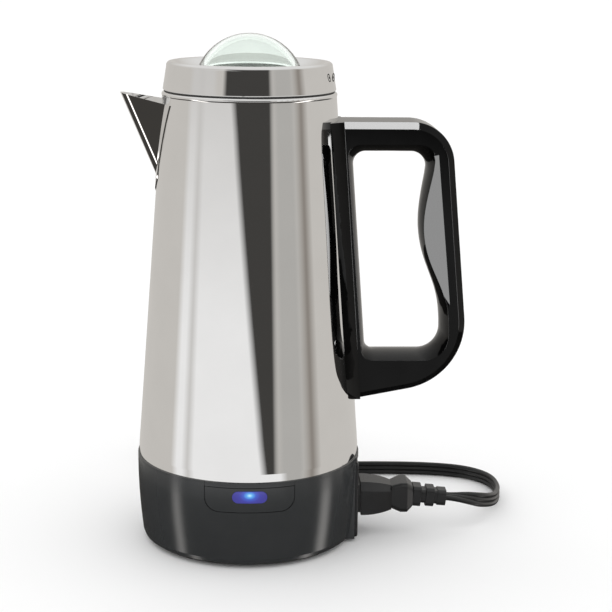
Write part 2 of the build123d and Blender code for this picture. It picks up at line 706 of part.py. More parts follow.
with BuildPart() as lid_skirt:
    revolve(
        outline(
            (SKIRT_R - LID_SHEET, 255), (SKIRT_R, 255), (SKIRT_R, LID_BOTTOM + LID_SHEET),
            (SKIRT_R - LID_SHEET, LID_BOTTOM + LID_SHEET),
        ),
        axis=Axis.Z,
    )
    # bayonet lugs, lined up with the rim's notches when the lid is unlocked
    lug = revolve(
        outline(
            (SKIRT_R - 0.3, LUG_Z[0]), (48.2, LUG_Z[0]), (48.2, LUG_Z[1]),
            (SKIRT_R - 0.3, LUG_Z[1]),
        ).rotate(Axis.Z, -8),
        axis=Axis.Z, revolution_arc=16, mode=Mode.PRIVATE,
    )
    for turn in (30, 150, 270):
        add(lug.rotate(Axis.Z, turn))
write(lid_skirt, "lid_skirt")

with BuildPart() as lid_seal:
    revolve(
        outline(
            (SKIRT_R + 0.06, 262.9), (46.7, 262.9), (46.7, 265.56), (48.8, 265.56),
            (48.8, LID_BOTTOM - 0.02), (SKIRT_R + 0.06, LID_BOTTOM - 0.02),
        ),
        axis=Axis.Z,
    )
write(lid_seal, "lid_seal")

# ---------------------------------------------------------------- glass knob
SEAL_TOP = RECESS_Z + 0.7
KNOB_CENTRE = KNOB_TOP - KNOB_R
NECK_R = 25.4
NECK_IN = 22.6
NECK_LOW = 268.2
HOLLOW_TOP = KNOB_TOP - 2.0      # inside of the dome, thin at the top and thick at its foot
HOLLOW_FOOT = (25.2, 279.0)


def cap_mid(radius, centre, r_low):
    """The point half way along a dome's arc from its foot to its top."""
    half = atan2(r_low, (radius**2 - r_low**2) ** 0.5) / 2
    return (radius * sin(half), centre + radius * cos(half))


with BuildPart() as glass_knob:
    foot_r = (KNOB_R**2 - (SEAL_TOP + 0.8 - KNOB_CENTRE) ** 2) ** 0.5
    rise = HOLLOW_TOP - HOLLOW_FOOT[1]
    hollow_r = (HOLLOW_FOOT[0] ** 2 + rise**2) / (2 * rise)
    with BuildSketch(Plane.XZ):
        with BuildLine():
            ThreePointArc(
                (0, KNOB_TOP), cap_mid(KNOB_R, KNOB_CENTRE, foot_r), (foot_r, SEAL_TOP + 0.8)
            )
            Polyline(
                (foot_r, SEAL_TOP + 0.8), (foot_r - 0.8, SEAL_TOP + 0.02),
                (NECK_R, SEAL_TOP + 0.02), (NECK_R, NECK_LOW), (NECK_IN, NECK_LOW),
                (NECK_IN, 276.0), HOLLOW_FOOT,
            )
            ThreePointArc(
                HOLLOW_FOOT, cap_mid(hollow_r, HOLLOW_TOP - hollow_r, HOLLOW_FOOT[0]),
                (0, HOLLOW_TOP),
            )
            Line((0, HOLLOW_TOP), (0, KNOB_TOP))
        make_face()
    revolve(axis=Axis.Z)
    # two tabs under the retainer hold the glass in the lid
    tab = revolve(
        outline((NECK_R - 0.5, 269.4), (27.6, 269.4), (27.6, 271.9), (NECK_R - 0.5, 271.9)),
        axis=Axis.Z, revolution_arc=40, mode=Mode.PRIVATE,
    )
    for turn in (0, 180):
        add(tab.rotate(Axis.Z, turn))
write(glass_knob, "glass_knob")

with BuildPart() as knob_seal:
    revolve(
        outline(
            (HOLE_R + 0.2, RECESS_Z), (29.3, RECESS_Z), (29.3, SEAL_TOP), (HOLE_R + 0.2, SEAL_TOP)
        ),
        axis=Axis.Z,
    )
write(knob_seal, "knob_seal")

with BuildPart() as knob_retainer:
    low = RECESS_Z - LID_SHEET - 3.2
    revolve(
        outline(
            (NECK_R + 0.08, low), (31.0, low), (31.0, low + 3.2), (NECK_R + 0.08, low + 3.2)
        ),
        axis=Axis.Z,
    )
write(knob_retainer, "knob_retainer")

# ================================================================ pump and basket
TUBE_TOP = 271.0
TUBE_WALL = 0.7
BELL_R = 13.4
BELL_Z = FLOOR_TOP - WELL_DEPTH + 0.3

with BuildPart() as pump_tube:
    revolve(
        outline(
            (TUBE_R - TUBE_WALL, 64), (TUBE_R, 64), (TUBE_R, TUBE_TOP),
            (TUBE_R - TUBE_WALL, TUBE_TOP),
        ),
        axis=Axis.Z,
    )
write(pump_tube, "pump_tube")

with BuildPart() as pump_foot:
    revolve(
        outline(
            (3.0, BELL_Z), (BELL_R, BELL_Z), (BELL_R, BELL_Z + 3.2), (TUBE_R + 2.0, 63.5),
            (TUBE_R + 0.8, 70), (TUBE_R, 70), (TUBE_R, 64), (TUBE_R - TUBE_WALL, 64),
            (TUBE_R - TUBE_WALL, 63), (BELL_R - 2.2, BELL_Z + 3.4), (BELL_R - 0.8, BELL_Z + 1.0),
            (3.0, BELL_Z + 1.0),
        ),
        axis=Axis.Z,
    )
    with PolarLocations(8.0, 6):
        with Locations((0, 0, BELL_Z)):
            Cylinder(1.2, 3, mode=Mode.SUBTRACT)
write(pump_foot, "pump_foot")

with BuildPart() as pump_valve:
    revolve(
        outline((0, BELL_Z + 1.1), (9.9, BELL_Z + 1.1), (9.9, BELL_Z + 1.8), (0, BELL_Z + 1.8)),
        axis=Axis.Z,
    )
write(pump_valve, "pump_valve")

with BuildPart() as basket_stop:
    revolve(
        outline(
            (TUBE_R, BASKET_Z - 2.4), (7.2, BASKET_Z - 2.4), (7.2, BASKET_Z - 0.3),
            (TUBE_R, BASKET_Z - 0.3),
        ),
        axis=Axis.Z,
    )
write(basket_stop, "basket_stop")

BASKET_TOP = BASKET_Z + 50.0
BASKET_SHEET = 0.6
SLEEVE_R = TUBE_R + 0.3


def perforate(rings, radius, height):
    """Vertical holes in rings of (ring radius, count)."""
    for ring, count in rings:
        with Locations((0, 0, height)):
            with PolarLocations(ring, count):
                Cylinder(radius, 8, mode=Mode.SUBTRACT)


with BuildPart() as basket:
    revolve(
        outline(
            (SLEEVE_R, BASKET_Z), (BASKET_R - 2, BASKET_Z), (BASKET_R, BASKET_Z + 2),
            (BASKET_R, BASKET_TOP), (BASKET_R - BASKET_SHEET, BASKET_TOP),
            (BASKET_R - BASKET_SHEET, BASKET_Z + 2.3), (BASKET_R - 2.3, BASKET_Z + BASKET_SHEET),
            (SLEEVE_R + BASKET_SHEET, BASKET_Z + BASKET_SHEET),
            (SLEEVE_R + BASKET_SHEET, BASKET_Z + 26), (SLEEVE_R, BASKET_Z + 26),
        ),
        axis=Axis.Z,
    )
    perforate(((11, 9), (17, 14), (23, 18), (29, 24), (35, 28)), 1.0, BASKET_Z)
write(basket, "basket")

with BuildPart() as spreader:
    rim = BASKET_TOP + 0.3
    inner = BASKET_R - BASKET_SHEET - 0.3
    revolve(
        outline(
            (SLEEVE_R, rim - 2.0), (8, rim - 2.0), (12, rim - 3.6), (inner - 1.4, rim - 3.6),
            (inner - 0.6, rim - 5), (inner, rim - 5), (inner, rim), (BASKET_R, rim),
            (BASKET_R, rim + BASKET_SHEET), (inner - BASKET_SHEET, rim + BASKET_SHEET),
            (inner - BASKET_SHEET, rim - 3.0), (12.2, rim - 3.0), (8.2, rim - 1.4),
            (SLEEVE_R, rim - 1.4),
        ),
        axis=Axis.Z,
    )
    perforate(((17, 12), (24, 18), (31, 24), (37, 28)), 0.9, rim - 3)
write(spreader, "spreader")

# ================================================================ cord set
SHOULDER_X = 67.2        # the connector's body starts here when it is pushed home
RELIEF_X = 99.0
DROOP = 5.0              # degrees that the strain relief points down


def block_section(x, wide, low, high, radius):
    """A rounded rectangle across the connector, between two heights."""
    with BuildSketch(Plane(origin=(x, 0, 0), x_dir=(0, 1, 0), z_dir=(1, 0, 0))) as section:
        with Locations((0, (low + high) / 2)):
            RectangleRounded(wide, high - low, radius)
    return section.sketch


with BuildPart() as connector:
    extrude(nose_outline(inlet_plane(NOSE_BACK), 0), amount=SHOULDER_X + 1 - NOSE_BACK)
    with BuildSketch(Plane(origin=(SHOULDER_X, 0, 0), x_dir=(0, 1, 0), z_dir=(1, 0, 0))) as face:
        with BuildLine():
            Polyline(
                (-12.6, 13.8), (12.6, 13.8), (12.6, 28.8), (8.2, 33.2), (-8.2, 33.2),
                (-12.6, 28.8), close=True,
            )
        make_face()
    with BuildSketch(Plane(origin=(76, 0, 0), x_dir=(0, 1, 0), z_dir=(1, 0, 0))) as waist:
        with BuildLine():
            Polyline(
                (-12.0, 14.2), (12.0, 14.2), (12.0, 28.4), (7.8, 32.6), (-7.8, 32.6),
                (-12.0, 28.4), close=True,
            )
        make_face()
    with BuildSketch(Plane(origin=(86, 0, 0), x_dir=(0, 1, 0), z_dir=(1, 0, 0))) as neck:
        with BuildLine():
            Polyline(
                (-8.6, 15.9), (8.6, 15.9), (8.6, 27.2), (5.6, 30.2), (-5.6, 30.2),
                (-8.6, 27.2), close=True,
            )
        make_face()
    loft([face.sketch, waist.sketch, neck.sketch])
    loft([block_section(86, 17.2, 15.9, 30.2, 3), block_section(91.6, 20.4, 13.9, 32.2, 3)])
    extrude(block_section(91.6, 20.4, 13.9, 32.2, 3), amount=3.8)
    loft([block_section(95.4, 20.4, 13.9, 32.2, 3), block_section(RELIEF_X, 14.6, 16.6, 29.4, 3)])
    # contact holes, clear of the inlet's pins
    for y in PIN_Y:
        with Locations((NOSE_BACK + 6.5, y, INLET_Z)):
            Box(13.4, 2.4, 4.4, mode=Mode.SUBTRACT)
write(connector, "connector")

relief_axis = Vector(cos(radians(DROOP)), 0, -sin(radians(DROOP)))
RELIEF_START = Vector(RELIEF_X, 0, 22.9)


def relief_plane(distance):
    """A plane across the strain relief, a distance along its axis."""
    return Plane(
        origin=RELIEF_START + relief_axis * distance, x_dir=(0, 1, 0), z_dir=relief_axis
    )


RIBS = ((0.0, 5.2, 13.4, 12.2), (8.2, 5.0, 12.6, 11.4), (15.2, 5.3, 11.2, 9.6))
RELIEF_LENGTH = 20.5

with BuildPart() as strain_relief:
    with BuildSketch(relief_plane(0)):
        RectangleRounded(10.4, 8.2, 2)
    extrude(amount=RELIEF_LENGTH)
    for start, length, wide, tall in RIBS:
        with BuildSketch(relief_plane(start)):
            RectangleRounded(wide, tall, 2.6)
        extrude(amount=length)
    with BuildSketch(Plane.YZ.offset(RELIEF_X - 10)):
        Rectangle(60, 90)
    extrude(amount=10, mode=Mode.SUBTRACT)
write(strain_relief, "strain_relief")

# The flat cord runs from the strain relief down to the table, turns behind the pot and
# lies in one loose loop there, with its plug inside the loop. Points of its centre line:
CORD_FLOOR = CORD_D / 2 + 0.1
PLUG_EXIT = Vector(13.0, 144.0, 9.35)
cord_start = RELIEF_START + relief_axis * RELIEF_LENGTH
CORD_POINTS = [
    (cord_start.X, 0, cord_start.Z),
    (131.0, 0.2, 20.1),
    (142.0, 5.5, 16.6),
    (150.5, 18.5, 12.0),
    (157.0, 37.0, 7.0),
    (162.0, 58.0, CORD_FLOOR + 0.1),
    (160.5, 79.5, CORD_FLOOR),
    (147.0, 95.5, CORD_FLOOR),
    (123.0, 103.0, CORD_FLOOR),
    (88.0, 105.5, CORD_FLOOR),
    (48.0, 104.5, CORD_FLOOR),
    (10.0, 107.0, CORD_FLOOR),
    (-25.0, 111.5, CORD_FLOOR),
    (-51.0, 124.0, CORD_FLOOR),
    (-63.0, 149.0, CORD_FLOOR),
    (-55.0, 177.0, CORD_FLOOR),
    (-31.0, 195.0, CORD_FLOOR),
    (0.0, 203.0, CORD_FLOOR),
    (31.0, 203.0, CORD_FLOOR),
    (51.5, 192.5, CORD_FLOOR),
    (58.5, 173.0, CORD_FLOOR + 0.4),
    (52.5, 154.0, CORD_FLOOR + 2.4),
    (35.0, 145.0, PLUG_EXIT.Z),
    (PLUG_EXIT.X, PLUG_EXIT.Y, PLUG_EXIT.Z),
]


def corner_radii(points):
    """Radius of each arc: as large as its two runs allow."""
    radii = []
    for before, here, after in zip(points, points[1:], points[2:]):
        first = Vector(here) - Vector(before)
        second = Vector(after) - Vector(here)
        turn = radians(first.get_angle(second))
        radii.append(0.45 * min(first.length, second.length) / tan(turn / 2))
    return radii


with BuildPart() as cord:
    with BuildLine() as route:
        cord_radii = corner_radii(CORD_POINTS)
        FilletPolyline(*CORD_POINTS, radius=cord_radii)
    with BuildSketch(Plane(origin=CORD_POINTS[0], x_dir=(0, 1, 0), z_dir=relief_axis)):
        Circle(CORD_D / 2)
    sweep(path=route.line)
write(cord, "cord")
cord_length = sum(edge.length for edge in route.line.edges())
print("cord radii", [round(r, 1) for r in cord_radii])
print("cord length", round(cord_length, 1), "volume", round(cord.part.volume, 1),
      "section x length", round(3.14159265 * CORD_D**2 / 4 * cord_length, 1))

# ---------------------------------------------------------------- plug
plug_axis = (Vector(CORD_POINTS[-1]) - Vector(CORD_POINTS[-2])).normalized()


def plug_plane(distance):
    """A plane across the plug, a distance along its axis from the cord's end."""
    return Plane(origin=PLUG_EXIT + plug_axis * distance, x_dir=(0, 0, 1), z_dir=plug_axis)


with BuildPart() as plug:
    for start, length, wide, tall in ((0, 3.4, 11.6, 12.6), (6.2, 3.4, 12.6, 13.8)):
        with BuildSketch(plug_plane(start)):
            RectangleRounded(wide, tall, 2.4)
        extrude(amount=length)
    with BuildSketch(plug_plane(0)):
        RectangleRounded(9.4, 10.4, 2)
    extrude(amount=14)
    with BuildSketch(plug_plane(12)) as heel:
        RectangleRounded(14, 16, 3)
    with BuildSketch(plug_plane(24)) as palm:
        RectangleRounded(18.6, 27, 4)
    with BuildSketch(plug_plane(34)) as front:
        RectangleRounded(18.6, 28, 4)
    loft([heel.sketch, palm.sketch, front.sketch])
write(plug, "plug")

with BuildPart() as plug_pins:
    for side in (-1, 1):
        with BuildSketch(plug_plane(34)):
            with Locations((1.6, side * 6.35)):
                Rectangle(6.4, 1.5)
        extrude(amount=16.5)
    with BuildSketch(plug_plane(34)):
        with Locations((-5.4, 0)):
            Circle(2.4)
    extrude(amount=19.0)
write(plug_pins, "plug_pins")
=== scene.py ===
import json
import math

import bmesh
import bpy
from mathutils import Matrix, Vector

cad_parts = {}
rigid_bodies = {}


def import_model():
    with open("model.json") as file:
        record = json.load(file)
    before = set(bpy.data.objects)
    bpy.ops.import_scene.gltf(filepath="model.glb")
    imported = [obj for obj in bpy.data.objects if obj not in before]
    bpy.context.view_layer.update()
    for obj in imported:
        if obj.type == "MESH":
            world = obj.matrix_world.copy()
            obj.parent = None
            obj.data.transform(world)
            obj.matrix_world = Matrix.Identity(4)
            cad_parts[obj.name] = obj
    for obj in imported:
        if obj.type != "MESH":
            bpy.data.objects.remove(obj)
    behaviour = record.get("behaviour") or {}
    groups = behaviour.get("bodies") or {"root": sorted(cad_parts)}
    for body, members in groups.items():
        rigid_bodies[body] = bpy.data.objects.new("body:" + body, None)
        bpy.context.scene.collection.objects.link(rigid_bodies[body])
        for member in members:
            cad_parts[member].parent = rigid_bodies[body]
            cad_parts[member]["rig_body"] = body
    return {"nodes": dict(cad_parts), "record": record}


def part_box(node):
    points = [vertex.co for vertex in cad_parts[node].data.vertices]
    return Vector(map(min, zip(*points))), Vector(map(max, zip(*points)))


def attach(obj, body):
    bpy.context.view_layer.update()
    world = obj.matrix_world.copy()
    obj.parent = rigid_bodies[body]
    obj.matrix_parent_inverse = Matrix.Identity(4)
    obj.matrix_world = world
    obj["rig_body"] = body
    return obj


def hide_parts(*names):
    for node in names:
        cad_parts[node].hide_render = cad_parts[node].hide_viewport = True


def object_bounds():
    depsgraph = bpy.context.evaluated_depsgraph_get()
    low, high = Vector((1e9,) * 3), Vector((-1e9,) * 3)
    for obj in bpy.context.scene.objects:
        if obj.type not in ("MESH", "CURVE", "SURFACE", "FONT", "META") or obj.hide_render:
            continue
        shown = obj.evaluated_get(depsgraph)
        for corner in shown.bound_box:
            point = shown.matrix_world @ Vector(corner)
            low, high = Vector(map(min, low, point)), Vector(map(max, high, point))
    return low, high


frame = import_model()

# Electric coffee percolator. Metres, +Z up, handle +X, spout -X, light panel -Y.
cad_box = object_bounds()
nodes = frame["nodes"]
scene = bpy.context.scene
scene.view_settings.view_transform = "Standard"
slot_of = {row["node"]: row["material_slot"] for row in frame["record"]["subparts"]}


def linked(name, data):
    """A new object in the scene."""
    thing = bpy.data.objects.new(name, data)
    scene.collection.objects.link(thing)
    return thing


# ---------------------------------------------------------------- camera
EYE = Vector((-0.00956, -0.91495, 0.34447))
LOOK = Vector((0.04597, 0.97481, -0.21833)).normalized()
RIGHT = LOOK.cross(Vector((0, 0, 1))).normalized()
UP = RIGHT.cross(LOOK)
ROLL = 0.0109            # radians
LENS = 93.64             # mm, on a sensor 36 mm wide
side = RIGHT * math.cos(ROLL) + UP * math.sin(ROLL)
above = UP * math.cos(ROLL) - RIGHT * math.sin(ROLL)
camera = linked("camera", bpy.data.cameras.new("camera"))
camera.data.lens = LENS
camera.data.sensor_width = 36
camera.data.clip_end = 60
camera.matrix_world = Matrix.Translation(EYE) @ Matrix((side, above, -LOOK)).transposed().to_4x4()
scene.camera = camera


# ---------------------------------------------------------------- materials
# cells of noise per metre
METAL_MOTTLE = 45
METAL_GRAIN = 900
METAL_WAVES = 14
PLASTIC_CLOUD = 60
PLASTIC_GRAIN = 1500
GLASS_WAVES = 60
LENS_CLOUD = 300


def blank(name):
    """A material with one Principled shader, and its node tree's parts."""
    material = bpy.data.materials.new(name)
    material.use_nodes = True
    tree = material.node_tree
    return material, tree, tree.nodes["Principled BSDF"]


def position(tree, stretch=(1, 1, 1)):
    """Object coordinates in metres, stretched along each axis."""
    where = tree.nodes.new("ShaderNodeTexCoord")
    scaled = tree.nodes.new("ShaderNodeMapping")
    scaled.inputs["Scale"].default_value = stretch
    tree.links.new(where.outputs["Object"], scaled.inputs["Vector"])
    return scaled.outputs["Vector"]


def noise(tree, scale, detail=3, stretch=(1, 1, 1)):
    """A noise texture's value at a number of cells per metre."""
    grain = tree.nodes.new("ShaderNodeTexNoise")
    grain.inputs["Scale"].default_value = scale
    grain.inputs["Detail"].default_value = detail
    tree.links.new(position(tree, stretch), grain.inputs["Vector"])
    return grain.outputs["Fac"]


def ranged(tree, value, low, high, source=(0.3, 0.7)):
    """A value moved from one range to another."""
    change = tree.nodes.new("ShaderNodeMapRange")
    change.inputs["From Min"].default_value = source[0]
    change.inputs["From Max"].default_value = source[1]
    change.inputs["To Min"].default_value = low
    change.inputs["To Max"].default_value = high
    tree.links.new(value, change.inputs["Value"])
    return change.outputs["Result"]


def tinted(tree, value, dark, light):
    """A colour between two, by a value from 0 to 1."""
    mix = tree.nodes.new("ShaderNodeMix")
    mix.data_type = "RGBA"
    mix.inputs[6].default_value = (*dark, 1)
    mix.inputs[7].default_value = (*light, 1)
    tree.links.new(value, mix.inputs[0])
    return mix.outputs[2]


def rough_grain(tree, shader, value, depth):
    """A bump of some depth in metres."""
    bump = tree.nodes.new("ShaderNodeBump")
    bump.inputs["Strength"].default_value = 1.0
    bump.inputs["Distance"].default_value = depth
    tree.links.new(value, bump.inputs["Height"])
    tree.links.new(bump.outputs["Normal"], shader.inputs["Normal"])


def metal(name, dark, light, rough, wave=0.0):
    """Bare metal with a slight variation of colour and gloss, and waves of some depth in metres."""
    material, tree, shader = blank(name)
    shader.inputs["Metallic"].default_value = 1.0
    mottle = noise(tree, METAL_MOTTLE, 4)
    tree.links.new(tinted(tree, ranged(tree, mottle, 0, 1), dark, light), shader.inputs["Base Color"])
    fine = noise(tree, METAL_GRAIN, 2)
    tree.links.new(ranged(tree, fine, rough[0], rough[1]), shader.inputs["Roughness"])
    if wave:
        rough_grain(tree, shader, noise(tree, METAL_WAVES, 1, (1, 1, 0.25)), wave)
    return material


def plastic(name, dark, light, rough, depth=0.0, specular=0.5):
    """Moulded plastic or rubber with fine texture."""
    material, tree, shader = blank(name)
    shader.inputs["Specular IOR Level"].default_value = specular
    cloud = noise(tree, PLASTIC_CLOUD, 3)
    tree.links.new(tinted(tree, ranged(tree, cloud, 0, 1), dark, light), shader.inputs["Base Color"])
    fine = noise(tree, PLASTIC_GRAIN, 3)
    tree.links.new(ranged(tree, fine, rough[0], rough[1]), shader.inputs["Roughness"])
    if depth:
        rough_grain(tree, shader, fine, depth)
    return material


def glass(name, colour):
    """Clear glass with a faint unevenness of its surface."""
    material, tree, shader = blank(name)
    shader.inputs["Base Color"].default_value = (*colour, 1)
    shader.inputs["Transmission Weight"].default_value = 1.0
    shader.inputs["IOR"].default_value = 1.5
    shader.inputs["Roughness"].default_value = 0.0
    rough_grain(tree, shader, noise(tree, GLASS_WAVES, 1), 0.00008)
    return material


def lit_window(name, centre, reach):
    """Translucent window lit from behind at one place."""
    material, tree, shader = blank(name)
    shader.inputs["Roughness"].default_value = 0.18
    shader.inputs["Coat Weight"].default_value = 0.4
    where = tree.nodes.new("ShaderNodeTexCoord")
    shift = tree.nodes.new("ShaderNodeMapping")
    shift.inputs["Location"].default_value = [-c / r for c, r in zip(centre, reach)]
    shift.inputs["Scale"].default_value = [1 / r for r in reach]
    ball = tree.nodes.new("ShaderNodeTexGradient")
    ball.gradient_type = "SPHERICAL"
    ramp = tree.nodes.new("ShaderNodeValToRGB")
    ramp.color_ramp.elements[0].color = (0.030, 0.026, 0.20, 1)
    ramp.color_ramp.elements[1].position = 1.0
    ramp.color_ramp.elements[1].color = (0.55, 1.0, 1.0, 1)
    for place, colour in (
        (0.30, (0.035, 0.035, 0.27, 1)),
        (0.58, (0.04, 0.10, 0.50, 1)),
        (0.80, (0.10, 0.42, 0.85, 1)),
    ):
        ramp.color_ramp.elements.new(place).color = colour
    tree.links.new(where.outputs["Object"], shift.inputs["Vector"])
    tree.links.new(shift.outputs["Vector"], ball.inputs["Vector"])
    tree.links.new(ball.outputs["Fac"], ramp.inputs["Fac"])
    tree.links.new(ramp.outputs["Color"], shader.inputs["Emission Color"])
    shader.inputs["Emission Strength"].default_value = 0.9
    tree.links.new(
        tinted(tree, noise(tree, LENS_CLOUD), (0.02, 0.02, 0.10), (0.03, 0.03, 0.14)),
        shader.inputs["Base Color"],
    )
    return material


lens_low, lens_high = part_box("light_lens")
GLOW_RISE = 0.0012       # the glow's height above the lens's middle
GLOW_REACH = (0.0085, 0.02, 0.0056)
glow_centre = (
    (lens_low.x + lens_high.x) / 2,
    lens_low.y,
    (lens_low.z + lens_high.z) / 2 + GLOW_RISE,
)

MATERIALS = {
    "polished_steel": metal(
        "polished_steel", (0.85, 0.845, 0.84), (0.875, 0.87, 0.865), (0.012, 0.035), wave=0.00001,
    ),
    "plain_steel": metal("plain_steel", (0.58, 0.57, 0.56), (0.66, 0.65, 0.64), (0.22, 0.32)),
    "zinc_fasteners": metal("zinc_fasteners", (0.55, 0.56, 0.6), (0.7, 0.7, 0.72), (0.25, 0.4)),
    "heater_sheath": metal("heater_sheath", (0.3, 0.28, 0.26), (0.42, 0.40, 0.37), (0.35, 0.5)),
    "brass_contacts": metal("brass_contacts", (0.72, 0.5, 0.2), (0.82, 0.6, 0.28), (0.18, 0.3)),
    "terminal_steel": metal("terminal_steel", (0.5, 0.5, 0.5), (0.65, 0.65, 0.65), (0.3, 0.4)),
    "handle_black": plastic(
        "handle_black", (0.0004, 0.0004, 0.0004), (0.0007, 0.0007, 0.0007), (0.03, 0.06), specular=0.12,
    ),
    "base_black": plastic("base_black", (0.028, 0.0295, 0.0305), (0.031, 0.0325, 0.0335), (0.15, 0.17)),
    "plate_black": plastic(
        "plate_black", (0.008, 0.008, 0.009), (0.012, 0.012, 0.013), (0.25, 0.35), depth=0.000004,
    ),
    "foot_rubber": plastic(
        "foot_rubber", (0.012, 0.012, 0.012), (0.02, 0.02, 0.02), (0.6, 0.8), depth=0.00002,
    ),
    "seal_silicone": plastic("seal_silicone", (0.02, 0.02, 0.02), (0.03, 0.03, 0.03), (0.5, 0.65)),
    "knob_seal": plastic("knob_seal", (0.5, 0.5, 0.48), (0.6, 0.6, 0.58), (0.45, 0.6)),
    "retainer_plastic": plastic("retainer_plastic", (0.55, 0.55, 0.54), (0.62, 0.62, 0.6), (0.35, 0.5)),
    "clear_glass": glass("clear_glass", (0.91, 0.96, 0.925)),
    "blue_lens": lit_window("blue_lens", glow_centre, GLOW_REACH),
    "led_epoxy": plastic("led_epoxy", (0.5, 0.6, 0.9), (0.6, 0.7, 0.95), (0.1, 0.2)),
    "board_green": plastic("board_green", (0.01, 0.09, 0.03), (0.02, 0.13, 0.05), (0.3, 0.45)),
    "thermostat_body": plastic("thermostat_body", (0.02, 0.02, 0.02), (0.04, 0.04, 0.04), (0.4, 0.55)),
    "heater_ceramic": plastic(
        "heater_ceramic", (0.6, 0.58, 0.53), (0.7, 0.68, 0.63), (0.6, 0.8), depth=0.00001,
    ),
    "wire_insulation": plastic("wire_insulation", (0.45, 0.43, 0.38), (0.55, 0.53, 0.47), (0.4, 0.55)),
    "cord_pvc": plastic(
        "cord_pvc", (0.009, 0.009, 0.0095), (0.013, 0.013, 0.0135), (0.28, 0.42), depth=0.000006,
    ),
}


def finish_with(piece, slot):
    """Gives a piece one of the materials above."""
    piece.data.materials.clear()
    piece.data.materials.append(MATERIALS[slot])


for node, slot in slot_of.items():
    finish_with(nodes[node], slot)


# ---------------------------------------------------------------- rounded moulded pieces
SHARP_OVER = math.radians(24)


def rounded(node, width):
    """A copy of a CAD node with its sharp edges rounded, which stands for the node."""
    bm = bmesh.new()
    bm.from_mesh(nodes[node].data)
    bmesh.ops.remove_doubles(bm, verts=bm.verts, dist=0.00002)
    bmesh.ops.dissolve_limit(bm, angle_limit=math.radians(0.4), verts=bm.verts, edges=bm.edges)
    sharp = [
        edge for edge in bm.edges
        if len(edge.link_faces) == 2 and edge.calc_face_angle(0.0) > SHARP_OVER
    ]
    bmesh.ops.bevel(
        bm, geom=sharp, offset=width, offset_type="OFFSET", segments=3, profile=0.5,
        affect="EDGES", clamp_overlap=True,
    )
    bmesh.ops.triangulate(bm, faces=[face for face in bm.faces if len(face.verts) > 4])
    mesh = bpy.data.meshes.new(node + "_rounded")
    bm.to_mesh(mesh)
    bm.free()
    mesh.shade_smooth()
    mesh.set_sharp_from_angle(angle=math.radians(40))
    piece = linked(node + "_rounded", mesh)
    weigh = piece.modifiers.new("weigh", "WEIGHTED_NORMAL")
    weigh.keep_sharp = True
    finish_with(piece, slot_of[node])
    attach(piece, nodes[node]["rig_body"])
    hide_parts(node)
    return piece


EDGE_WIDTHS = {
    "handle": 0.0007,
    "connector": 0.0011,
    "strain_relief": 0.0007,
    "plug": 0.0006,
    "inlet_plate": 0.0004,
}
moulded = {node: rounded(node, width) for node, width in EDGE_WIDTHS.items()}

# ---------------------------------------------------------------- cord
CORD_ROUTE = (
    (0.119422, 0, 0.021113), (0.131, 0.0002, 0.0201), (0.142, 0.0055, 0.0166),
    (0.1505, 0.0185, 0.012), (0.157, 0.037, 0.007), (0.162, 0.058, 0.0046),
    (0.1605, 0.0795, 0.0045), (0.147, 0.0955, 0.0045), (0.123, 0.103, 0.0045),
    (0.088, 0.1055, 0.0045), (0.048, 0.1045, 0.0045), (0.010, 0.107, 0.0045),
    (-0.025, 0.1115, 0.0045), (-0.051, 0.124, 0.0045), (-0.063, 0.149, 0.0045),
    (-0.055, 0.177, 0.0045), (-0.031, 0.195, 0.0045), (0, 0.203, 0.0045),
    (0.031, 0.203, 0.0045), (0.0515, 0.1925, 0.0045), (0.0585, 0.173, 0.0049),
    (0.0525, 0.154, 0.0069), (0.035, 0.145, 0.00935), (0.013, 0.144, 0.00935),
)
LOBE = 0.0016            # radius of each of its three cores' lobes
LOBE_STEP = 0.0028       # between two cores
TWIST_LENGTH = 0.034     # it leaves flat, and stands on edge after this length


def smooth_line(points):
    """Points along a NURBS spline with these control points."""
    data = bpy.data.curves.new("route", "CURVE")
    data.dimensions = "3D"
    data.resolution_u = 12
    spline = data.splines.new("NURBS")
    spline.points.add(len(points) - 1)
    for point, place in zip(spline.points, points):
        point.co = (*place, 1)
    spline.order_u = 3
    spline.use_endpoint_u = True
    thing = linked("route", data)
    bpy.context.view_layer.update()
    mesh = bpy.data.meshes.new_from_object(thing)
    line = [vertex.co.copy() for vertex in mesh.vertices]
    bpy.data.objects.remove(thing)
    bpy.data.meshes.remove(mesh)
    return line


def lobed_section(steps=9):
    """Outline of the flat cord: three lobes side by side, as (across, through) offsets."""
    waist = math.acos(LOBE_STEP / 2 / LOBE)
    outline = []
    for core, first, last in (
        (1, -math.pi + waist, math.pi - waist),
        (0, waist, math.pi - waist),
        (-1, waist, 2 * math.pi - waist),
        (0, math.pi + waist, 2 * math.pi - waist),
    ):
        count = steps * 2 if core else steps
        for k in range(count):
            turn = first + (last - first) * k / count
            outline.append((core * LOBE_STEP + LOBE * math.cos(turn), LOBE * math.sin(turn)))
    return outline


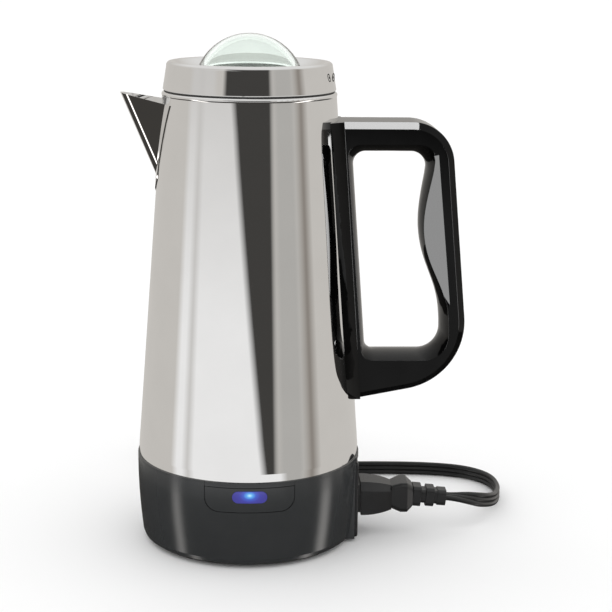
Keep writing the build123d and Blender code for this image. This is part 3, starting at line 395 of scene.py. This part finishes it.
def ribbon(name, line, section):
    """The section swept along a line. It lies flat at the start and turns on edge."""
    bm = bmesh.new()
    rings = []
    along = 0.0
    for k, point in enumerate(line):
        if k:
            along += (point - line[k - 1]).length
        tangent = (line[min(k + 1, len(line) - 1)] - line[max(k - 1, 0)]).normalized()
        level = Vector((0, 0, 1)).cross(tangent).normalized()
        upright = tangent.cross(level)
        share = min(along / TWIST_LENGTH, 1)
        turn = math.pi / 2 * share * share * (3 - 2 * share)
        across = level * math.cos(turn) + upright * math.sin(turn)
        through = tangent.cross(across)
        rings.append([bm.verts.new(point + across * a + through * b) for a, b in section])
    for near, far in zip(rings, rings[1:]):
        for k in range(len(section)):
            j = (k + 1) % len(section)
            bm.faces.new((near[k], near[j], far[j], far[k]))
    bm.faces.new(rings[0])
    bm.faces.new(list(reversed(rings[-1])))
    bmesh.ops.recalc_face_normals(bm, faces=bm.faces)
    mesh = bpy.data.meshes.new(name)
    bm.to_mesh(mesh)
    bm.free()
    mesh.shade_smooth()
    mesh.set_sharp_from_angle(angle=math.radians(60))
    return linked(name, mesh)


cord_line = smooth_line(CORD_ROUTE)
cord = ribbon("cord_flat", cord_line, lobed_section())
finish_with(cord, "cord_pvc")
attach(cord, "cordset")
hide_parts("cord")

# ---------------------------------------------------------------- mark on the lid
lid_low, lid_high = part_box("lid_shell")
MARK_INSET = 0.0004      # the lid's wall there is this far inside its widest
MARK_PROUD = 0.0005      # and the mark stands this far out of the wall
MARK_BEARING = math.radians(-19.4)
MARK_HEIGHT = 0.2748
MARK_RADIUS = 0.0024


def lid_mark(name, angle, height, size):
    """A small printed ring with a dot in it, on the lid's side."""
    radius = (lid_high.x - lid_low.x) / 2 - MARK_INSET
    bm = bmesh.new()
    steps = 40

    def on_lid(r, turn):
        side_step = angle + r * math.cos(turn) / radius
        return Vector((
            (radius + MARK_PROUD) * math.cos(side_step),
            (radius + MARK_PROUD) * math.sin(side_step),
            height + r * math.sin(turn),
        ))

    for inner, outer in ((0.72 * size, size), (0, 0.32 * size)):
        near = [bm.verts.new(on_lid(inner, 2 * math.pi * k / steps)) for k in range(steps)] if inner else None
        far = [bm.verts.new(on_lid(outer, 2 * math.pi * k / steps)) for k in range(steps)]
        if near:
            for k in range(steps):
                j = (k + 1) % steps
                bm.faces.new((near[k], near[j], far[j], far[k]))
        else:
            bm.faces.new(far)
    mesh = bpy.data.meshes.new(name)
    bm.to_mesh(mesh)
    bm.free()
    piece = linked(name, mesh)
    thicken = piece.modifiers.new("thicken", "SOLIDIFY")
    thicken.thickness = 0.00015
    return piece


mark = lid_mark("lid_mark", MARK_BEARING, MARK_HEIGHT, MARK_RADIUS)
mark.data.materials.append(MATERIALS["foot_rubber"])
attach(mark, "lid")

# ---------------------------------------------------------------- floor
floor_mesh = bpy.data.meshes.new("floor")
REACH = 20.0
floor_mesh.from_pydata(
    [(-REACH, -REACH, 0), (REACH, -REACH, 0), (REACH, REACH, 0), (-REACH, REACH, 0)], [], [(0, 1, 2, 3)],
)
floor = linked("floor", floor_mesh)
floor.location.z = cad_box[0][2]
floor_paint, floor_tree, floor_shader = blank("floor_paint")
floor_shader.inputs["Base Color"].default_value = (0.9, 0.9, 0.9, 1)
floor_shader.inputs["Roughness"].default_value = 0.6
floor_shader.inputs["Specular IOR Level"].default_value = 0.1
floor.data.materials.append(floor_paint)
floor.visible_glossy = False

# ---------------------------------------------------------------- studio
# What glossy surfaces see: a grey room with a few cards and flags standing round the pot.
# A bearing is in degrees from the front, growing towards the handle.
ROOM = (0.60, 0.58, 0.55)
# each is from a bearing to a bearing, with the softness of its edges and its colour
BLACK_FLAG = (-34, 28, 3, (0.055, 0.053, 0.05))
GREY_CARD = (30, 60, 6, (0.47, 0.46, 0.44))
BROWN_FLAG = (64, 74, 6, (0.23, 0.205, 0.18))
WHITE_CARD = (-84, -2, 4)
WHITE_LOW = (0.91, 0.91, 0.91)
WHITE_HIGH = (0.64, 0.63, 0.615)
WHITE_FADES = (-5.0, 5.0)   # degrees of height over which the card goes dim
SOFT_GAP = (-70, -63, 4, (0.62, 0.61, 0.595))
WHITE_LEAN = -2.7        # degrees that the white card's right edge shifts per degree of height
WHITE_MIDDLE = -4.0      # degrees of height at which that edge is at its bearing above
FLOOR_TONE = (0.05, 0.047, 0.043)
FLOOR_STRIPS = ((-86, -77, 4), (82, 94, 4))
STRIP_TONE = (3.0, 2.9, 2.8)
PLAIN_STRENGTH = 1.2     # what everything else is lit by
BELOW_STARTS = -20.0     # degrees: the floor begins here
OVERHEAD = (0.80, 0.80, 0.79)
OVERHEAD_FADES = (15.0, 42.0)  # degrees of height over which it comes in
WALL_LEAN = 2.6          # degrees that an upright wall's sides tip what they reflect
CONE_LEAN = 8.4          # degrees that the steel cone's sides tip it

world = bpy.data.worlds.new("studio")
scene.world = world
world.use_nodes = True
tree = world.node_tree
tree.nodes.clear()


def calc(operation, first, second=None):
    """One math node."""
    step = tree.nodes.new("ShaderNodeMath")
    step.operation = operation
    for socket, value in zip(step.inputs, (first, second)):
        if value is None:
            continue
        if isinstance(value, (int, float)):
            socket.default_value = value
        else:
            tree.links.new(value, socket)
    return step.outputs[0]


def mixed(share, first, second):
    """A colour mix; its inputs are sockets or colours."""
    mix = tree.nodes.new("ShaderNodeMix")
    mix.data_type = "RGBA"
    for socket, value in ((mix.inputs[0], share), (mix.inputs[6], first), (mix.inputs[7], second)):
        if isinstance(value, tuple):
            socket.default_value = (*value, 1)
        else:
            tree.links.new(value, socket)
    return mix.outputs[2]


def card(seen, left_of, right_of, left, right, soft, colour):
    """Stands one card in front of what is seen, between two bearings with soft edges."""
    opens = ranged(tree, left_of, 0.0, 1.0, (left - soft, left + soft))
    closes = ranged(tree, right_of, 1.0, 0.0, (right - soft, right + soft))
    return mixed(calc("MULTIPLY", opens, closes), seen, colour)


ways = tree.nodes.new("ShaderNodeTexCoord")
split = tree.nodes.new("ShaderNodeSeparateXYZ")
tree.links.new(ways.outputs["Generated"], split.inputs["Vector"])
around = calc("ARCTAN2", split.outputs["X"], calc("MULTIPLY", split.outputs["Y"], -1.0))
bearing = calc("DEGREES", around)
rise = calc("DEGREES", calc("ARCSINE", split.outputs["Z"]))
turn = calc("SUBTRACT", 1.0, calc("COSINE", calc("DIVIDE", around, 2.0)))
level = calc("ADD", rise, calc("MULTIPLY", turn, CONE_LEAN))
depth = calc("SUBTRACT", rise, calc("MULTIPLY", turn, WALL_LEAN))

seen = ROOM
for flat_card in (BLACK_FLAG, GREY_CARD, BROWN_FLAG):
    seen = card(seen, bearing, bearing, *flat_card)
white = mixed(ranged(tree, level, 0.0, 1.0, WHITE_FADES), WHITE_LOW, WHITE_HIGH)
shifted = calc("SUBTRACT", bearing, calc("MULTIPLY", calc("SUBTRACT", level, WHITE_MIDDLE), WHITE_LEAN))
seen = card(seen, bearing, shifted, *WHITE_CARD, white)
seen = card(seen, bearing, bearing, *SOFT_GAP)
under = FLOOR_TONE
for strip in FLOOR_STRIPS:
    under = card(under, bearing, bearing, *strip, STRIP_TONE)
seen = mixed(ranged(tree, depth, 0.0, 1.0, (BELOW_STARTS - 0.1, BELOW_STARTS + 0.1)), under, seen)
# overhead card, which the lid, the knob and other upward faces see
seen = mixed(ranged(tree, rise, 0.0, 1.0, OVERHEAD_FADES), seen, OVERHEAD)
around_glossy = tree.nodes.new("ShaderNodeBackground")
tree.links.new(seen, around_glossy.inputs["Color"])
plain = tree.nodes.new("ShaderNodeBackground")
plain.inputs["Color"].default_value = (1, 1, 1, 1)
plain.inputs["Strength"].default_value = PLAIN_STRENGTH
path = tree.nodes.new("ShaderNodeLightPath")
choose = tree.nodes.new("ShaderNodeMixShader")
# rays through the glass see the plain studio
outside = calc("SUBTRACT", 1.0, path.outputs["Is Transmission Ray"])
mirrored = calc("MULTIPLY", path.outputs["Is Glossy Ray"], outside)
tree.links.new(mirrored, choose.inputs["Fac"])
tree.links.new(plain.outputs["Background"], choose.inputs[1])
tree.links.new(around_glossy.outputs["Background"], choose.inputs[2])
out = tree.nodes.new("ShaderNodeOutputWorld")
tree.links.new(choose.outputs["Shader"], out.inputs["Surface"])


def softbox(name, at, aim, size, radiance):
    """An area light of some radiance, which lights just the handle."""
    data = bpy.data.lights.new(name, "AREA")
    data.shape = "RECTANGLE"
    data.size, data.size_y = size
    data.energy = radiance * math.pi * size[0] * size[1]
    lamp = linked(name, data)
    lamp.location = at
    lamp.rotation_euler = (Vector(aim) - Vector(at)).to_track_quat("-Z", "Y").to_euler()
    lamp.visible_camera = False
    group = bpy.data.collections.new(name + "_lights")
    group.objects.link(moulded["handle"])
    lamp.light_linking.receiver_collection = group


softbox("handle_strip", (0.26, -0.245, 0.142), (0.06, -0.022, 0.142), (0.22, 0.17), 26)
softbox("handle_front", (-0.19, -0.42, 0.10), (0.107, -0.015, 0.19), (0.26, 0.30), 26)
softbox("handle_top", (0.112, -0.07, 0.75), (0.09, -0.017, 0.25), (0.235, 0.16), 52)
